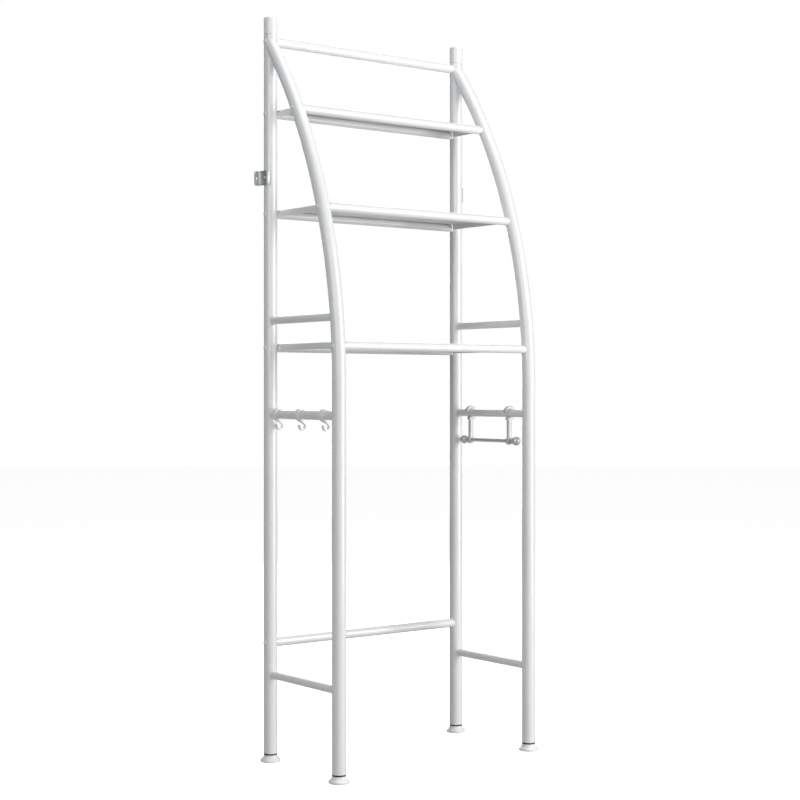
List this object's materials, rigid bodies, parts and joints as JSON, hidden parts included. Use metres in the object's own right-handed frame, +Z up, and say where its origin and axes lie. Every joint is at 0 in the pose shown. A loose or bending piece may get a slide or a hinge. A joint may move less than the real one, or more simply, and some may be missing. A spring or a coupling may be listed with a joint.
{
  "type": "over the toilet storage rack",
  "caption": "Free-standing steel tube rack that stands over a toilet, with curved front tubes, open shelves above, a hook rail, a paper holder and screw feet.",
  "frame": {"origin": "on the floor, midway between the four feet", "axes": "+Z up, +Y towards the wall behind the rack, +X to the right of a person facing the rack"},
  "size_m": [0.554, 0.288, 1.55],
  "materials": {
    "white_steel": "gloss white powder coat",
    "white_plastic": "moulded, gloss white",
    "black_plastic": "moulded, black",
    "zinc_steel": "zinc plated",
    "chrome": "satin chrome plate",
    "silver_enamel": "silver enamel on a casting",
    "clip_steel": "dull grey plated strip"
  },
  "bodies": {
    "frame": {"rear_left_lower_post": "white_steel", "front_left_leg": "white_steel", "rear_left_upper_post": "white_steel", "front_left_curved_tube": "white_steel", "left_guard_bar": "white_steel", "left_side_stretcher": "white_steel", "left_post_cap": "white_plastic", "left_wall_clip": "clip_steel", "rear_right_lower_post": "white_steel", "front_right_leg": "white_steel", "rear_right_upper_post": "white_steel", "front_right_curved_tube": "white_steel", "right_guard_bar": "white_steel", "right_side_stretcher": "white_steel", "right_post_cap": "white_plastic", "right_wall_clip": "clip_steel", "hook_rail": "white_steel", "paper_rail": "white_steel", "top_crossbar": "white_steel", "rear_stretcher": "white_steel", "upper_shelf_front_rail": "white_steel", "upper_shelf_rear_rail": "white_steel", "upper_shelf_panel": "white_steel", "middle_shelf_front_rail": "white_steel", "middle_shelf_rear_rail": "white_steel", "middle_shelf_panel": "white_steel", "lower_shelf_front_rail": "white_steel", "lower_shelf_rear_rail": "white_steel", "lower_shelf_panel": "white_steel", "crossbar_bolts": "white_steel", "crossbar_end_plugs": "zinc_steel", "joiner_sleeves": "zinc_steel", "leg_end_plugs": "black_plastic", "leg_nuts": "zinc_steel", "wall_clip_screws": "zinc_steel"},
    "front_left_foot": {"front_left_foot_base": "white_plastic", "front_left_foot_stud": "zinc_steel"},
    "front_right_foot": {"front_right_foot_base": "white_plastic", "front_right_foot_stud": "zinc_steel"},
    "rear_left_foot": {"rear_left_foot_base": "white_plastic", "rear_left_foot_stud": "zinc_steel"},
    "rear_right_foot": {"rear_right_foot_base": "white_plastic", "rear_right_foot_stud": "zinc_steel"},
    "rear_hook": {"rear_rail_hook": "white_plastic"},
    "middle_hook": {"middle_rail_hook": "white_plastic"},
    "front_hook": {"front_rail_hook": "white_plastic"},
    "paper_holder": {"front_paper_arm": "silver_enamel", "rear_paper_arm": "silver_enamel"},
    "paper_rod": {"paper_rod": "chrome", "front_rod_knob": "chrome", "rear_rod_knob": "chrome"}
  },
  "joints": [
    {"name": "front_left_foot_screw", "type": "slide", "parent": "frame", "child": "front_left_foot", "axis": [0, 0, 1], "range_m": [-0.012, 0]},
    {"name": "front_right_foot_screw", "type": "slide", "parent": "frame", "child": "front_right_foot", "axis": [0, 0, 1], "range_m": [-0.012, 0]},
    {"name": "rear_left_foot_screw", "type": "slide", "parent": "frame", "child": "rear_left_foot", "axis": [0, 0, 1], "range_m": [-0.012, 0]},
    {"name": "rear_right_foot_screw", "type": "slide", "parent": "frame", "child": "rear_right_foot", "axis": [0, 0, 1], "range_m": [-0.012, 0]},
    {"name": "rear_hook_slide", "type": "slide", "parent": "frame", "child": "rear_hook", "axis": [0, 1, 0], "range_m": [-0.034, 0.007]},
    {"name": "middle_hook_slide", "type": "slide", "parent": "frame", "child": "middle_hook", "axis": [0, 1, 0], "range_m": [-0.034, 0.034]},
    {"name": "front_hook_slide", "type": "slide", "parent": "frame", "child": "front_hook", "axis": [0, 1, 0], "range_m": [-0.025, 0.034]},
    {"name": "paper_holder_swing", "type": "hinge", "parent": "frame", "child": "paper_holder", "pos_m": [0.25, 0.005, 0.723], "axis": [0, 1, 0], "range_deg": [-90, 90]},
    {"name": "paper_rod_spin", "type": "hinge", "parent": "paper_holder", "child": "paper_rod", "pos_m": [0.25, 0.005, 0.663], "axis": [0, 1, 0], "continuous": true}
  ]
}
